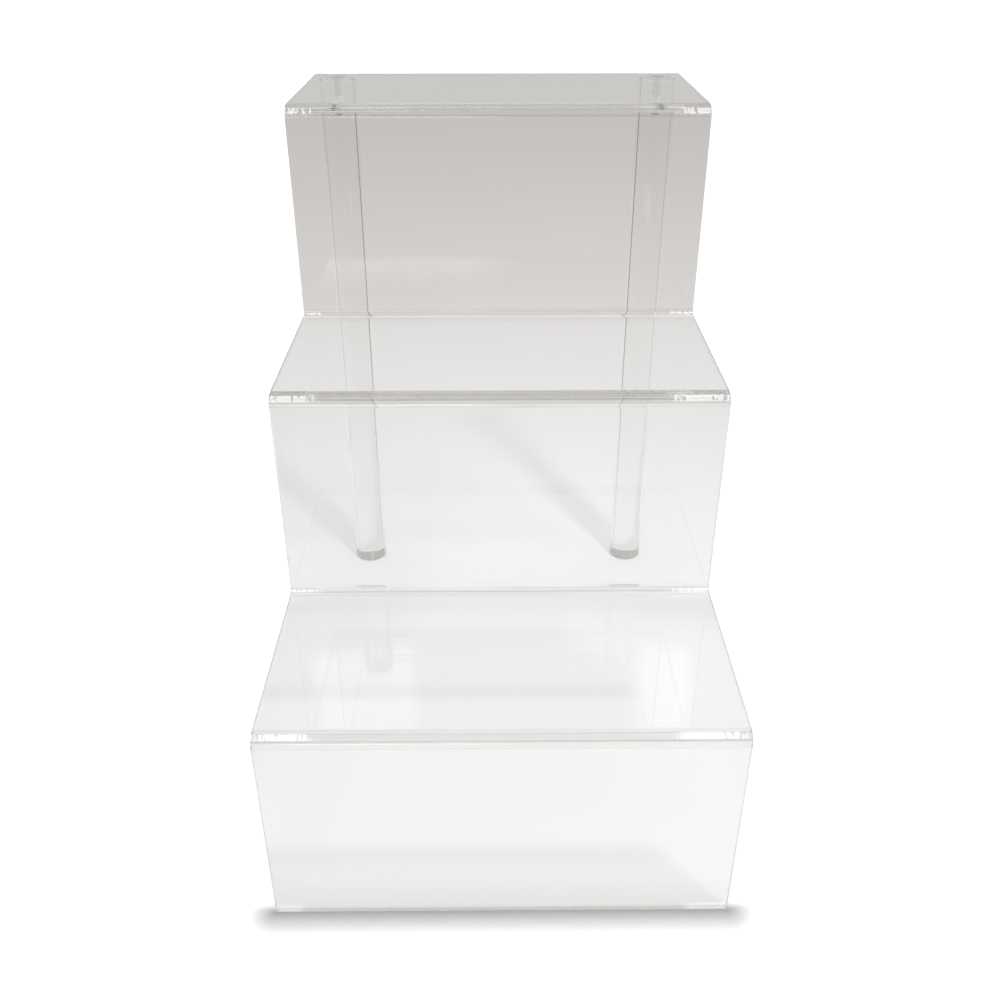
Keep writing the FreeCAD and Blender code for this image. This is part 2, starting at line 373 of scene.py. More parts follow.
def clear_material(name, ior, shade, bend_shade=0.0):
    """Solid clear plastic. Its shadow is what its surfaces turn back, darkened by a shade
    and, where the sheet is bent, by what the bend throws aside.
    """
    material, tree, shader, out = new_material(name)
    shader.inputs["Transmission Weight"].default_value = 1.0
    shader.inputs["IOR"].default_value = ior
    inside = add_node(tree, "ShaderNodeNewGeometry").outputs["Backfacing"]
    either_way = ramp(tree, inside, 0.0, 1.0, ior, 1 / ior)
    turned_back = add_node(tree, "ShaderNodeFresnel", {"IOR": either_way}).outputs[0]
    passed = math_node(tree, "MULTIPLY", math_node(tree, "SUBTRACT", 1.0, turned_back), shade)
    if bend_shade:
        bend = add_node(tree, "ShaderNodeAttribute", attribute_name="bend").outputs["Fac"]
        kept = math_node(tree, "SUBTRACT", 1.0, math_node(tree, "MULTIPLY", bend, bend_shade))
        passed = math_node(tree, "MULTIPLY", passed, kept)
    shadow = add_node(tree, "ShaderNodeBsdfTransparent", {"Color": passed})
    for_shadow = add_node(tree, "ShaderNodeLightPath").outputs["Is Shadow Ray"]
    mixed = add_node(tree, "ShaderNodeMixShader",
                     {0: for_shadow, 1: shader.outputs[0], 2: shadow.outputs[0]})
    tree.links.new(mixed.outputs[0], out.inputs["Surface"])
    return material, tree, shader


def scaled_place(tree, scale):
    """Object coordinates in metres, stretched by a scale."""
    place = add_node(tree, "ShaderNodeTexCoord").outputs["Object"]
    return add_node(tree, "ShaderNodeMapping", {"Vector": place, "Scale": scale}).outputs[0]


def noise(tree, scale, stretch=(1, 1, 1), detail=2.0, seed=0.0):
    """Noise on Object coordinates; scale is in waves to the metre."""
    node = add_node(tree, "ShaderNodeTexNoise", noise_dimensions="4D")
    tree.links.new(scaled_place(tree, stretch), node.inputs["Vector"])
    node.inputs["W"].default_value = seed
    node.inputs["Scale"].default_value = scale
    node.inputs["Detail"].default_value = detail
    return node.outputs["Fac"]


def ramp(tree, value, low, high, bottom, top):
    """Map a value from one range to another and hold it there."""
    node = add_node(tree, "ShaderNodeMapRange", {
        "Value": value, "From Min": low, "From Max": high, "To Min": bottom, "To Max": top})
    return node.outputs[0]


def tinted(tree, factor, first, second):
    """A colour between two colours; the first may come from another node."""
    node = add_node(tree, "ShaderNodeMix", {0: factor}, data_type="RGBA")
    if isinstance(first, bpy.types.NodeSocket):
        tree.links.new(first, node.inputs[6])
    else:
        node.inputs[6].default_value = (*first, 1.0)
    node.inputs[7].default_value = (*second, 1.0)
    return node.outputs[2]


def bump(tree, height, distance, strength, before=None):
    """A bump normal, on top of another where given."""
    links = {"Height": height, "Distance": distance, "Strength": strength}
    if before is not None:
        links["Normal"] = before
    return add_node(tree, "ShaderNodeBump", links).outputs[0]


def acrylic_sheet_material(tint):
    """Cast sheet: clear, very slightly wavy and smeared, marked at its bends, with shade painted over
    the bends, in lines along them and at the sawn rear end.
    """
    material, tree, shader = clear_material(
        "clear_cast_sheet", ACRYLIC_IOR, SHEET_SHADE, BEND_SHADE)
    cloud = noise(tree, 9.0, detail=1.0, seed=3.1)
    darker = tuple(channel * 0.985 for channel in tint)
    bend = add_node(tree, "ShaderNodeAttribute", attribute_name="bend").outputs["Fac"]
    place = add_node(tree, "ShaderNodeTexCoord").outputs["Object"]
    parts = add_node(tree, "ShaderNodeSeparateXYZ", {0: place}).outputs
    # painted shade: the sheet's colour is darker over each bend
    colour = tinted(tree, bend, tinted(tree, cloud, darker, tint), BEND_PAINTED_SHADE)
    round_bend = math_node(tree, "ADD", parts["Y"], parts["Z"])
    turns = math_node(tree, "MULTIPLY", round_bend, 2 * math.pi / BEND_LINE_SPACING)
    # painted shade: darker lines along each bend, a fixed spacing apart
    crease = ramp(tree, math_node(tree, "SINE", turns), 0.75, 0.95, 0.0, 1.0)
    colour = tinted(tree, math_node(tree, "MULTIPLY", crease, bend), colour, BEND_LINE_PAINTED_SHADE)
    # painted shade: the sheet darkens over its last 2 mm towards the sawn rear end
    rear = SHEET_HIGH[1]
    rear_painted_shade = ramp(tree, parts["Y"], rear - 2 * MM, rear - 0.2 * MM, 0.0, 1.0)
    colour = tinted(tree, rear_painted_shade, colour, REAR_END_PAINTED_SHADE)
    tree.links.new(colour, shader.inputs["Base Color"])
    smear = ramp(tree, noise(tree, 35.0, detail=4.0, seed=1.7), 0.55, 0.8, 0.0, 0.02)
    tree.links.new(smear, shader.inputs["Roughness"])
    waves = bump(tree, noise(tree, 14.0, detail=1.0, seed=5.5), 0.02 * MM, 1.0)
    outward = math_node(tree, "ABSOLUTE", parts["X"])
    side = SHEET_HIGH[0]
    near_end = ramp(tree, outward, side - 37 * MM, side - 13 * MM, 0.0, 1.0)
    grip = math_node(tree, "MULTIPLY", near_end, bend)
    marks = math_node(tree, "MULTIPLY", noise(tree, 300.0, (1, 0.4, 0.4), detail=1.0, seed=7.3), grip)
    marked = bump(tree, marks, 0.08 * MM, 1.0, before=waves)
    tree.links.new(marked, shader.inputs["Normal"])
    return material


def acrylic_rod_material(tint):
    """Extruded rod: clear, with faint draw lines and a painted shade line down each edge."""
    material, tree, shader = clear_material("clear_extruded_rod", ACRYLIC_IOR, ROD_SHADE)
    cloud = noise(tree, 60.0, (1, 1, 0.05), detail=2.0, seed=2.2)
    darker = tuple(channel * 0.975 for channel in tint)
    clouded = tinted(tree, cloud, darker, tint)
    facing = add_node(tree, "ShaderNodeLayerWeight", {"Blend": 0.5}).outputs["Facing"]
    off = math_node(tree, "ABSOLUTE", math_node(tree, "SUBTRACT", facing, ROD_SHADE_LINE_FACING))
    place = add_node(tree, "ShaderNodeTexCoord").outputs["Object"]
    parts = add_node(tree, "ShaderNodeSeparateXYZ", {0: place}).outputs
    outward = math_node(tree, "ABSOLUTE", parts["X"])
    # painted shade: the edge line is stronger on the rod's inner side and towards its top
    inner_side = ramp(tree, outward, rod_offset() - 4 * MM, rod_offset() + 4 * MM, 1.0, 0.5)
    line = math_node(tree, "MULTIPLY", ramp(tree, off, 0.015, 0.06, 0.95, 0.0),
                     ramp(tree, parts["Z"], 0.02, 0.2, 0.25, 1.0))
    line = math_node(tree, "MULTIPLY", line, inner_side)
    tree.links.new(tinted(tree, line, clouded, ROD_SHADE_LINE_COLOUR), shader.inputs["Base Color"])
    shader.inputs["Roughness"].default_value = 0.01
    lines = bump(tree, noise(tree, 220.0, (1, 1, 0.01), detail=2.0, seed=4.0), 0.02 * MM, 1.0)
    tree.links.new(lines, shader.inputs["Normal"])
    return material


def sawn_end_material(tint):
    """The rods' sawn and lightly ground ends."""
    material, tree, shader = clear_material("sawn_rod_end", ACRYLIC_IOR, ROD_SHADE)
    grain = noise(tree, 900.0, (1, 4, 1), detail=4.0, seed=8.0)
    darker = tuple(channel * 0.8 for channel in tint)
    tree.links.new(tinted(tree, grain, darker, tint), shader.inputs["Base Color"])
    tree.links.new(ramp(tree, grain, 0.3, 0.7, 0.02, 0.08), shader.inputs["Roughness"])
    chips = noise(tree, 1400.0, (1, 3, 1), detail=3.0, seed=9.0)
    tree.links.new(bump(tree, chips, 0.035 * MM, 1.0), shader.inputs["Normal"])
    return material


def screw_material(tint):
    """Moulded clear plastic, a little cloudy."""
    material, tree, shader = clear_material("clear_moulded_screw", MOULDED_IOR, SCREW_SHADE)
    cloud = noise(tree, 700.0, detail=3.0, seed=6.0)
    darker = tuple(channel * 0.93 for channel in tint)
    tree.links.new(tinted(tree, cloud, darker, tint), shader.inputs["Base Color"])
    tree.links.new(ramp(tree, cloud, 0.3, 0.7, 0.03, 0.1), shader.inputs["Roughness"])
    return material


# ---------------------------------------------------------------- stepped sheet


def bend_lines(sheet):
    """Where each bend starts along the flat blank, its arc, and the blank's whole length."""
    middle_radius = sheet.inside_radius + sheet.thickness / 2
    arc = middle_radius * QUARTER
    starts = []
    along = sheet.rise - sheet.thickness / 2 - middle_radius
    for tier in range(TIERS):
        starts.append(along)
        last = tier == TIERS - 1
        end_allowance = sheet.thickness / 2 + middle_radius if last else 2 * middle_radius
        along += arc + sheet.going - end_allowance
        if not last:
            starts.append(along)
            along += arc + sheet.rise - 2 * middle_radius
    return starts, arc, along


def rounded_ring(shape, half_width, half_thickness, rounding, place, columns, arc_steps=4):
    """One section of the blank: a rectangle with its columns, grown by a rounding."""
    ring = []
    corners = [(1, -1, -QUARTER), (1, 1, 0.0), (-1, 1, QUARTER), (-1, -1, 2 * QUARTER)]
    for number, (x_side, h_side, turn) in enumerate(corners):
        for step in range(arc_steps + 1):
            angle = turn + QUARTER * step / arc_steps
            ring.append((x_side * half_width + rounding * math.cos(angle),
                         h_side * half_thickness + rounding * math.sin(angle)))
        if number in (1, 3):
            row = columns if number == 3 else columns[::-1]
            ring += [(x, h_side * (half_thickness + rounding)) for x in row]
    return [shape.verts.new((x, -h, place)) for x, h in ring]


def flat_blank(sheet):
    """The blank before bending, upright: X across, Z along it, its outer face towards -Y."""
    starts, arc, length = bend_lines(sheet)
    radius = sheet.edge_radius
    half_width = sheet.width / 2 - radius
    half_thickness = sheet.thickness / 2 - radius
    count = round(sheet.width / (2.5 * MM))
    columns = [half_width * (2 * step / count - 1) for step in range(1, count)]
    rows = []
    end_steps = 4
    for step in range(end_steps + 1):
        angle = QUARTER * step / end_steps
        rows.append((radius * (1 - math.cos(angle)), radius * math.sin(angle)))
    bend_steps = 24
    for start in starts:
        rows += [(start + arc * step / bend_steps, radius) for step in range(bend_steps + 1)]
    rows += [(length - place, grown) for place, grown in rows[end_steps::-1]]
    shape = bmesh.new()
    rings = [
        rounded_ring(shape, half_width, half_thickness, grown, place, columns)
        for place, grown in rows
    ]
    for lower, upper in zip(rings, rings[1:]):
        for step in range(len(lower)):
            following = (step + 1) % len(lower)
            shape.faces.new((lower[step], lower[following], upper[following], upper[step]))
    shape.faces.new(rings[0][::-1])
    shape.faces.new(rings[-1])
    close_seams(shape)
    return shape


def countersink_cutter(sheet, side, along):
    """A drill and countersink that come in from the blank's outer face."""
    half = sheet.thickness / 2
    hole = sheet.clearance_hole / 2
    over = 1 * MM
    wide = sheet.countersink / 2 + over
    profile = [(0.0, -half - over), (hole, -half - over), (hole, half + over - wide + hole),
               (wide, half + over), (0.0, half + over)]
    cutter = new_piece("countersink_cutter", turned(profile, 72))
    lie_down = Matrix.Rotation(QUARTER, 4, "X")
    cutter.data.transform(Matrix.Translation((side * rod_offset(), 0.0, along)) @ lie_down)
    return cutter


def line_bend_tree():
    """One line bend: everything past the start rolls round the bar, and the rest follows."""
    tree, given, out = shape_tree("Line Bend", [
        ("Along", "Float"), ("Start", "Float"), ("Arc", "Float"), ("Turn", "Float"),
        ("Bar", "Float"), ("Ripple", "Float")])
    use = given.outputs
    past = math_node(tree, "SUBTRACT", use["Along"], use["Start"])
    rolled = math_node(tree, "MAXIMUM", math_node(tree, "MINIMUM", past, use["Arc"]), 0.0)
    share = math_node(tree, "DIVIDE", rolled, use["Arc"])
    turn = math_node(tree, "MULTIPLY", share, use["Turn"])

    place = add_node(tree, "GeometryNodeInputPosition").outputs[0]
    wave = add_node(tree, "ShaderNodeTexNoise", {"Vector": place, "Scale": 70.0, "Detail": 2.0})
    uneven = math_node(tree, "SUBTRACT", wave.outputs["Fac"], 0.5)
    swell = math_node(tree, "SINE", math_node(tree, "MULTIPLY", share, math.pi))
    before = add_node(tree, "GeometryNodeInputNamedAttribute", {"Name": "bend"}, data_type="FLOAT")
    noted = add_node(tree, "GeometryNodeStoreNamedAttribute", {
        "Geometry": use["Geometry"], "Name": "bend",
        "Value": math_node(tree, "MAXIMUM", before.outputs[0], swell)},
        data_type="FLOAT", domain="POINT")
    shift = math_node(tree, "MULTIPLY", math_node(tree, "MULTIPLY", uneven, swell), use["Ripple"])

    back = math_node(tree, "MULTIPLY", rolled, -1.0)
    moved = add_node(tree, "ShaderNodeCombineXYZ", {"Y": shift, "Z": back}).outputs[0]
    drawn = add_node(tree, "ShaderNodeVectorMath", {0: place, 1: moved}, operation="ADD")
    bar = add_node(tree, "ShaderNodeCombineXYZ", {"Y": use["Bar"], "Z": use["Start"]})
    round_bar = add_node(tree, "ShaderNodeVectorRotate", {
        "Vector": drawn.outputs[0], "Center": bar.outputs[0], "Angle": turn},
        rotation_type="X_AXIS")
    bent = add_node(tree, "GeometryNodeSetPosition",
                    {"Geometry": noted.outputs[0], "Position": round_bar.outputs[0]})
    tree.links.new(bent.outputs[0], out.inputs[0])
    return tree


def stepping_tree():
    """The whole fold: the bends in turn from the rear one to the front one."""
    tree, given, out = shape_tree("Stepped Sheet", [
        ("Rise", "Float"), ("Going", "Float"), ("Thickness", "Float"),
        ("Inside Radius", "Float"), ("Ripple", "Float"), ("Front", "Float"),
        ("Material", "Material")])
    use = given.outputs
    half = math_node(tree, "MULTIPLY", use["Thickness"], 0.5)
    middle = math_node(tree, "ADD", use["Inside Radius"], half)
    arc = math_node(tree, "MULTIPLY", middle, QUARTER)
    two_radii = math_node(tree, "MULTIPLY", middle, 2.0)
    first = math_node(tree, "SUBTRACT", use["Rise"], half)
    start = math_node(tree, "SUBTRACT", first, middle)
    starts = [start]
    for bend in range(1, 2 * TIERS - 1):
        run = use["Going"] if bend % 2 else use["Rise"]
        straight = math_node(tree, "SUBTRACT", run, two_radii)
        start = math_node(tree, "ADD", math_node(tree, "ADD", start, arc), straight)
        starts.append(start)

    place = add_node(tree, "GeometryNodeInputPosition").outputs[0]
    height = add_node(tree, "ShaderNodeSeparateXYZ", {0: place}).outputs["Z"]
    kept = add_node(tree, "GeometryNodeCaptureAttribute", {"Geometry": use["Geometry"]})
    kept.capture_items.new("FLOAT", "Along")
    tree.links.new(height, kept.inputs["Along"])
    geometry = kept.outputs["Geometry"]
    line_bend = line_bend_tree()
    for bend in reversed(range(len(starts))):
        forward = bend % 2
        bar = math_node(tree, "MULTIPLY", middle, -1.0 if forward else 1.0)
        fold = add_node(tree, "GeometryNodeGroup", node_tree=line_bend)
        for name, source in {
            "Geometry": geometry, "Along": kept.outputs["Along"], "Start": starts[bend],
            "Arc": arc, "Bar": bar, "Ripple": use["Ripple"],
        }.items():
            tree.links.new(source, fold.inputs[name])
        fold.inputs["Turn"].default_value = QUARTER if forward else -QUARTER
        geometry = fold.outputs[0]
    centre = math_node(tree, "ADD", use["Front"], half)
    offset = add_node(tree, "ShaderNodeCombineXYZ", {"Y": centre}).outputs[0]
    stood = add_node(tree, "GeometryNodeTransform", {"Geometry": geometry, "Translation": offset})
    finish_tree(tree, use, out, stood.outputs[0])
    return tree


def rod_offset():
    """How far the rods stand from the middle, across."""
    return abs((ROD_LOW[0] + ROD_HIGH[0]) / 2)


def rod_axis(side):
    """The (x, y) of a rod's axis."""
    return side * rod_offset(), (ROD_LOW[1] + ROD_HIGH[1]) / 2


class RISER_OT_sheet(bpy.types.Operator):
    """Drill and bend the clear sheet"""

    bl_idname = "riser.sheet"
    bl_label = "Bent Sheet"

    def execute(self, context):
        sheet = context.scene.riser_sheet
        piece = new_piece("bent_sheet", flat_blank(sheet))
        length = bend_lines(sheet)[2]
        rear_inset = SHEET_HIGH[1] - rod_axis(1)[1]
        cutters = [countersink_cutter(sheet, side, length - rear_inset) for side in SIDES.values()]
        for cutter in cutters:
            cut_away(piece, cutter)
        add_tree(piece, stepping_tree(), {
            "Rise": sheet.rise,
            "Going": sheet.going,
            "Thickness": sheet.thickness,
            "Inside Radius": sheet.inside_radius,
            "Ripple": sheet.ripple,
            "Front": SHEET_LOW[1],
            "Material": acrylic_sheet_material(sheet.tint),
        })
        settle(piece)
        discard(*cutters)
        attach(piece, "root")
        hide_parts("stepped_sheet")
        return {"FINISHED"}


# ---------------------------------------------------------------- rods and screws


def thread_tree():
    """A thread: points near the given radius move in by a wave that winds round the axis."""
    tree, given, out = shape_tree("Thread", [
        ("Radius", "Float"), ("Depth", "Float"), ("Pitch", "Float"),
        ("Top", "Float"), ("Bottom", "Float"), ("Material", "Material")])
    use = given.outputs
    place = add_node(tree, "GeometryNodeInputPosition").outputs[0]
    parts = add_node(tree, "ShaderNodeSeparateXYZ", {0: place}).outputs
    across = add_node(tree, "ShaderNodeCombineXYZ", {"X": parts["X"], "Y": parts["Y"]}).outputs[0]
    radius = add_node(tree, "ShaderNodeVectorMath", {0: across}, operation="LENGTH").outputs["Value"]
    angle = math_node(tree, "ARCTAN2", parts["Y"], parts["X"])
    turns = math_node(tree, "DIVIDE", angle, 2 * math.pi)
    rows = math_node(tree, "DIVIDE", parts["Z"], use["Pitch"])
    wave = math_node(tree, "PINGPONG", math_node(tree, "SUBTRACT", rows, turns), 0.5)
    cut = math_node(tree, "MULTIPLY", wave, 2.0)

    off = math_node(tree, "ABSOLUTE", math_node(tree, "SUBTRACT", radius, use["Radius"]))
    near = math_node(tree, "LESS_THAN", off, 0.01 * MM)
    below_top = math_node(tree, "SUBTRACT", use["Top"], parts["Z"])
    above_end = math_node(tree, "SUBTRACT", parts["Z"], use["Bottom"])
    from_end = math_node(tree, "MINIMUM", below_top, above_end)
    fade = math_node(tree, "MINIMUM", math_node(tree, "DIVIDE", from_end, use["Pitch"]), 1.0)
    fade = math_node(tree, "MULTIPLY", math_node(tree, "MAXIMUM", fade, 0.0), near)
    depth = math_node(tree, "MULTIPLY", math_node(tree, "MULTIPLY", cut, fade), use["Depth"])
    inward = math_node(tree, "DIVIDE", math_node(tree, "MULTIPLY", depth, -1.0), use["Radius"])
    shift = add_node(tree, "ShaderNodeVectorMath", {0: across, "Scale": inward}, operation="SCALE")
    wound = add_node(tree, "GeometryNodeSetPosition",
                     {"Geometry": use["Geometry"], "Offset": shift.outputs[0]})
    finish_tree(tree, use, out, wound.outputs[0])
    return tree


def threaded_run(radius, top, bottom, pitch):
    """Profile points down a threaded wall, eight to a turn of the thread."""
    steps = round((top - bottom) / pitch * 8)
    return [(radius, top + (bottom - top) * step / steps) for step in range(steps + 1)]


def move_to(piece, side, turn=0.0):
    """Stand a finished mesh on a rod's axis, with its place in the mesh."""
    x, y = rod_axis(side)
    piece.data.transform(Matrix.Translation((x, y, 0.0)) @ Matrix.Rotation(turn, 4, "Z"))


class RISER_OT_rods(bpy.types.Operator):
    """Turn, chamfer and tap the two legs"""

    bl_idname = "riser.rods"
    bl_label = "Rod Legs"

    def execute(self, context):
        rod = context.scene.riser_rod
        screw = context.scene.riser_screw
        body = acrylic_rod_material(rod.tint)
        sawn = sawn_end_material(rod.sawn_tint)
        tree = thread_tree()
        radius = (ROD_HIGH[0] - ROD_LOW[0]) / 2
        top = ROD_HIGH[2] - rod.seat_gap
        hole = screw.thread_diameter / 2 + screw.thread_gap
        shoulder = ROD_HIGH[2] - rod.hole_depth
        drill_point = hole * math.tan(math.radians(31))
        profile = [(0.0, 0.0), (radius - rod.chamfer, 0.0), (radius, rod.chamfer)]
        profile += [(radius, top - rod.chamfer), (radius - rod.chamfer, top)]
        profile += [(hole, top)]
        profile += threaded_run(hole, top - 0.1 * MM, shoulder, screw.pitch)
        profile += [(0.0, shoulder - drill_point)]
        for name, side in SIDES.items():
            piece = new_piece(f"{name}_leg", turned(profile, 96))
            add_tree(piece, tree, {
                "Radius": hole, "Depth": screw.thread_depth, "Pitch": screw.pitch,
                "Top": top, "Bottom": shoulder, "Material": body})
            settle(piece)
            piece.data.materials.append(sawn)
            for face in piece.data.polygons:
                underside = abs(face.normal.z) > 0.9 and face.center.z < rod.chamfer
                face.material_index = int(underside)
            move_to(piece, side)
            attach(piece, "root")
            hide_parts(f"{name}_rod")
        return {"FINISHED"}


class RISER_OT_screws(bpy.types.Operator):
    """Mould the two slotted screws"""

    bl_idname = "riser.screws"
    bl_label = "Screws"

    def execute(self, context):
        screw = context.scene.riser_screw
        rod = context.scene.riser_rod
        finish = screw_material(screw.tint)
        tree = thread_tree()
        top = SCREW_HIGH[2]
        tip = SCREW_LOW[2]
        head = screw.head_diameter / 2 - rod.seat_gap
        shank = screw.thread_diameter / 2
        land = 0.3 * MM
        point = 0.6 * MM
        cone_end = top - land - (head - shank)
        profile = [(0.0, top), (head - 0.1 * MM, top), (head, top - 0.1 * MM), (head, top - land)]
        profile += threaded_run(shank, cone_end, tip + point, screw.pitch)
        profile += [(shank - point, tip), (0.0, tip)]
        turns = {"left": screw.left_turn, "right": screw.right_turn}
        for name, side in SIDES.items():
            piece = new_piece(f"{name}_fixing", turned(profile, 64))
            cutter = new_piece("slot_cutter", slot_block(screw, top))
            add_tree(piece, tree, {
                "Radius": shank, "Depth": screw.thread_depth, "Pitch": screw.pitch,
                "Top": cone_end, "Bottom": tip, "Material": finish})
            cut_away(piece, cutter)
            settle(piece)
            discard(cutter)
            move_to(piece, side, turns[name])
            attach(piece, "root")
            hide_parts(f"{name}_screw")
        return {"FINISHED"}


def slot_block(screw, top):
    """A block as wide as the slot, through the head."""
    shape = bmesh.new()
    bmesh.ops.create_cube(shape, size=1.0)
    block = Matrix.Diagonal((screw.slot_width, 2 * screw.head_diameter, 2 * screw.slot_depth, 1.0))
    bmesh.ops.transform(shape, matrix=Matrix.Translation((0, 0, top)) @ block, verts=shape.verts)
    return shape


# ---------------------------------------------------------------- studio

# where the floor meets the room
HORIZON = (0.60, 0.585, 0.57)

# the room's colour by the sine of the elevation, from the horizon up
ROOM_GRADES = [
    (0.0, HORIZON),
    (0.17, (0.64, 0.63, 0.62)),
    (0.36, (0.86, 0.86, 0.86)),
    (0.46, (0.8, 0.8, 0.8)),
    (0.74, (0.76, 0.76, 0.76)),
    (0.82, (0.5, 0.49, 0.48)),
]

# the even room that lights the floor
EVEN_ROOM = (0.66, 0.66, 0.66)

# what stands out in the room: azimuth from straight behind the riser to the right,
# elevation, half width, half height, soft rim (all in degrees) and colour
ROOM_PATCHES = [
    (0, 32.6, 80, 3.4, 1.5, (0.13, 0.105, 0.085)),
    (-9.0, 40.3, 3.4, 2.4, 1.0, (1.6, 1.6, 1.6)),
    (11.8, 40.8, 1.7, 3.2, 1.0, (1.6, 1.6, 1.6)),
    (-174, 14, 6, 3, 3.0, (6.0, 6.0, 6.0)),
]

# strip lights that run front to back overhead: how far to the side they point (sine of
# the angle), half width, first and last angle over the riser from the back, colour
STRIP_LIGHTS = [
    (-0.195, 0.028, 88, 140, (9.0, 9.0, 9.0)),
    (0.195, 0.028, 88, 140, (9.0, 9.0, 9.0)),
]

# square lamps: name, place, size and power
LAMPS = [
    ("key_lamp", (0.45, -0.58, 1.40), 0.14, 5.5),
    ("ceiling_lamp", (0.0, 0.2, 2.6), 1.6, 10.0),
]

# the shadow painted on the floor under the front edge: how far it reaches, and how dark it is
PAINTED_SHADOW_REACH = 20 * MM
PAINTED_SHADOW_TINT = (0.44, 0.44, 0.44)

# light paths that stay inside clear plastic need many turns
CLEAR_BOUNCES = 96


def graded(tree, value, stops):
    """A colour that runs through (place, colour) stops."""
    node = add_node(tree, "ShaderNodeValToRGB", {"Fac": value})
    elements = node.color_ramp.elements
    while len(elements) < len(stops):
        elements.new(0.5)
    for element, (place, colour) in zip(elements, stops):
        element.position = place
        element.color = (*colour, 1.0)
    return node.outputs[0]


def white_to_camera(tree, colour, white):
    """The colour for light that comes off or through the riser, and a plain white straight on."""
    straight = add_node(tree, "ShaderNodeLightPath").outputs["Is Camera Ray"]
    return tinted(tree, straight, colour, (white, white, white)), straight


def painted_contact_shadow(tree, place):
    """Painted shadow: 1 on the floor under the sheet's front edge, and 0 a little way off."""
    parts = add_node(tree, "ShaderNodeSeparateXYZ", {0: place}).outputs
    over = math_node(tree, "SUBTRACT", math_node(tree, "ABSOLUTE", parts["X"]), SHEET_HIGH[0])
    beside = math_node(tree, "MAXIMUM", over, 0.0)
    behind = math_node(tree, "SUBTRACT", parts["Y"], SHEET_LOW[1])
    before = math_node(tree, "MAXIMUM", math_node(tree, "MULTIPLY", behind, 3.0),
                       math_node(tree, "MULTIPLY", behind, -1.0))
    apart = add_node(tree, "ShaderNodeCombineXYZ", {"X": beside, "Y": before}).outputs[0]
    gap = add_node(tree, "ShaderNodeVectorMath", {0: apart}, operation="LENGTH").outputs["Value"]
    return ramp(tree, gap, 0.0, PAINTED_SHADOW_REACH, 1.0, 0.0)


def floor_material(studio):
    """A plain pale floor that greys with distance and meets the room far off; straight on it glows
    white, with a shadow painted under the sheet's front edge.
    """
    material, tree, shader = new_material("pale_floor")[:3]
    place = add_node(tree, "ShaderNodeTexCoord").outputs["Object"]
    distance = add_node(tree, "ShaderNodeVectorMath", {0: place}, operation="LENGTH").outputs["Value"]
    near = tuple(studio.floor_near)
    far = tuple(studio.floor_far)
    between = tuple((a + b) / 2 for a, b in zip(near, far))
    grade = graded(tree, ramp(tree, distance, 0.0, 2.0, 0.0, 1.0),
                   [(0.1, near), (0.3, between), (0.43, far), (1.0, far)])
    front = add_node(tree, "ShaderNodeSeparateXYZ", {0: place}).outputs["Y"]
    grade = tinted(tree, ramp(tree, front, -1.4, -0.9, 1.0, 0.0), grade, studio.floor_front)
    shown, straight = white_to_camera(tree, grade, 0.97)
    # painted shadow under the sheet's front edge, multiplied into the floor's colour and taken off
    # its glow
    close = painted_contact_shadow(tree, place)
    shaded = add_node(tree, "ShaderNodeMix", {0: close}, data_type="RGBA", blend_type="MULTIPLY")
    tree.links.new(shown, shaded.inputs[6])
    shaded.inputs[7].default_value = (*PAINTED_SHADOW_TINT, 1.0)
    turned_aside = math_node(tree, "SUBTRACT", 1.0, straight)
    far_off = math_node(tree, "MULTIPLY", turned_aside, ramp(tree, distance, 2.5, 8.0, 0.0, 1.0))
    base = tinted(tree, far_off, shaded.outputs[2], BLACK)
    tree.links.new(base, shader.inputs["Base Color"])
    shader.inputs["Roughness"].default_value = 0.9
    shader.inputs["Specular IOR Level"].default_value = 0.0
    tree.links.new(tinted(tree, straight, HORIZON, WHITE), shader.inputs["Emission Color"])
    lift = math_node(tree, "MULTIPLY", straight, ramp(tree, distance, 0.3, 3.0, 0.33, 0.7))
    lit = math_node(tree, "MULTIPLY", lift, math_node(tree, "SUBTRACT", 1.0, close))
    tree.links.new(math_node(tree, "ADD", lit, far_off), shader.inputs["Emission Strength"])
    return material


def patch(tree, direction, azimuth, elevation, half_width, half_height, rim):
    """1 inside a four-sided patch of the surroundings, 0 outside; angles in degrees."""
    turn = math.radians(azimuth)
    ahead = add_node(tree, "ShaderNodeVectorMath", {
        0: direction, 1: (math.sin(turn), math.cos(turn), 0.0)}, operation="DOT_PRODUCT")
    aside = add_node(tree, "ShaderNodeVectorMath", {
        0: direction, 1: (math.cos(turn), -math.sin(turn), 0.0)}, operation="DOT_PRODUCT")
    across = math_node(tree, "ARCTAN2", aside.outputs["Value"], ahead.outputs["Value"])
    height = add_node(tree, "ShaderNodeSeparateXYZ", {0: direction}).outputs["Z"]
    up = math_node(tree, "SUBTRACT", math_node(tree, "ARCSINE", height), math.radians(elevation))
    inside = [
        ramp(tree, math_node(tree, "ABSOLUTE", off),
             math.radians(half - rim / 2), math.radians(half + rim / 2), 1.0, 0.0)
        for off, half in ((across, half_width), (up, half_height))
    ]
    return math_node(tree, "MULTIPLY", *inside)


def strip(tree, direction, aside, half_width, first, last):
    """1 inside a long light that runs front to back overhead, 0 outside."""
    parts = add_node(tree, "ShaderNodeSeparateXYZ", {0: direction}).outputs
    off = math_node(tree, "ABSOLUTE", math_node(tree, "SUBTRACT", parts["X"], aside))
    along = math_node(tree, "ARCTAN2", parts["Z"], parts["Y"])
    middle = math.radians((first + last) / 2)
    half_length = math.radians((last - first) / 2)
    reach = math_node(tree, "ABSOLUTE", math_node(tree, "SUBTRACT", along, middle))
    return math_node(tree, "MULTIPLY", ramp(tree, off, half_width * 0.7, half_width, 1.0, 0.0),
                     ramp(tree, reach, half_length * 0.9, half_length, 1.0, 0.0))


